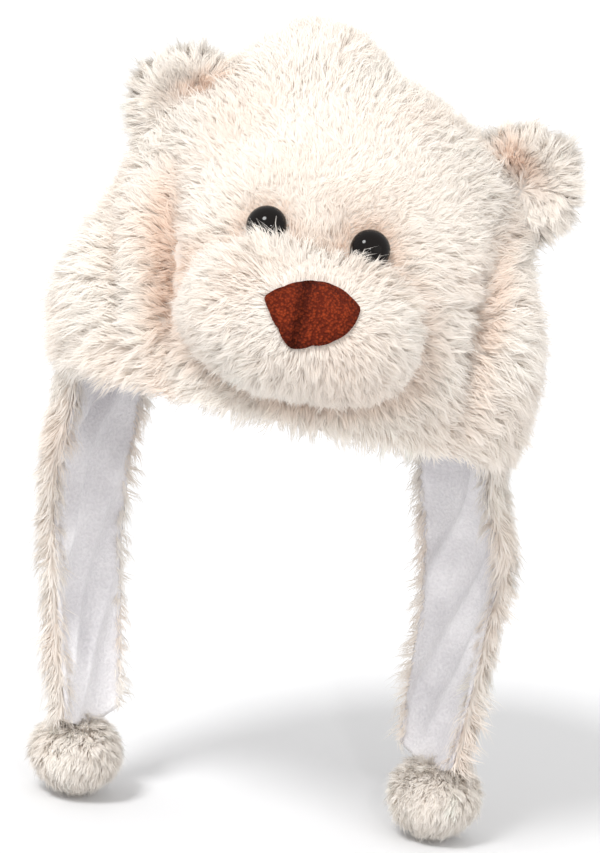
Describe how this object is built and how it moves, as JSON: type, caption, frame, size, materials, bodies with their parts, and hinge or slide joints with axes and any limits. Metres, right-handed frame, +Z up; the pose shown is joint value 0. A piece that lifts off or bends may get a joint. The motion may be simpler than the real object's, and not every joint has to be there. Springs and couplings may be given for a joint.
{
  "type": "bear ear hat",
  "caption": "Plush bear-face hat: domed furry crown with a stuffed muzzle, nose, eyes and ears, a fleece lining, and long lined ear flaps that hang below the rim and end in pompoms.",
  "frame": {"origin": "the head seat: the inside top of the crown's lining, where the top of the head touches", "axes": "+Z up, -Y the way the face looks, +X the wearer's left; the crown leans 6 degrees towards +X with its front raised 6 degrees, as worn, and the flaps hang down"},
  "size_m": [0.2478, 0.2489, 0.392],
  "materials": {
    "cream_plush": "long-pile cream plush, combed in soft locks",
    "white_fleece": "short-napped cool white fleece",
    "rust_velour": "ribbed rust-brown velour",
    "gloss_black": "polished black plastic"
  },
  "bodies": {
    "root": {"crown_plush": "cream_plush", "muzzle": "cream_plush", "ear_left": "cream_plush", "ear_right": "cream_plush", "flap_plush_left": "cream_plush", "flap_plush_right": "cream_plush", "pompom_left": "cream_plush", "pompom_right": "cream_plush", "crown_lining": "white_fleece", "flap_lining_left": "white_fleece", "flap_lining_right": "white_fleece", "nose": "rust_velour", "eye_left": "gloss_black", "eye_right": "gloss_black"}
  },
  "joints": []
}
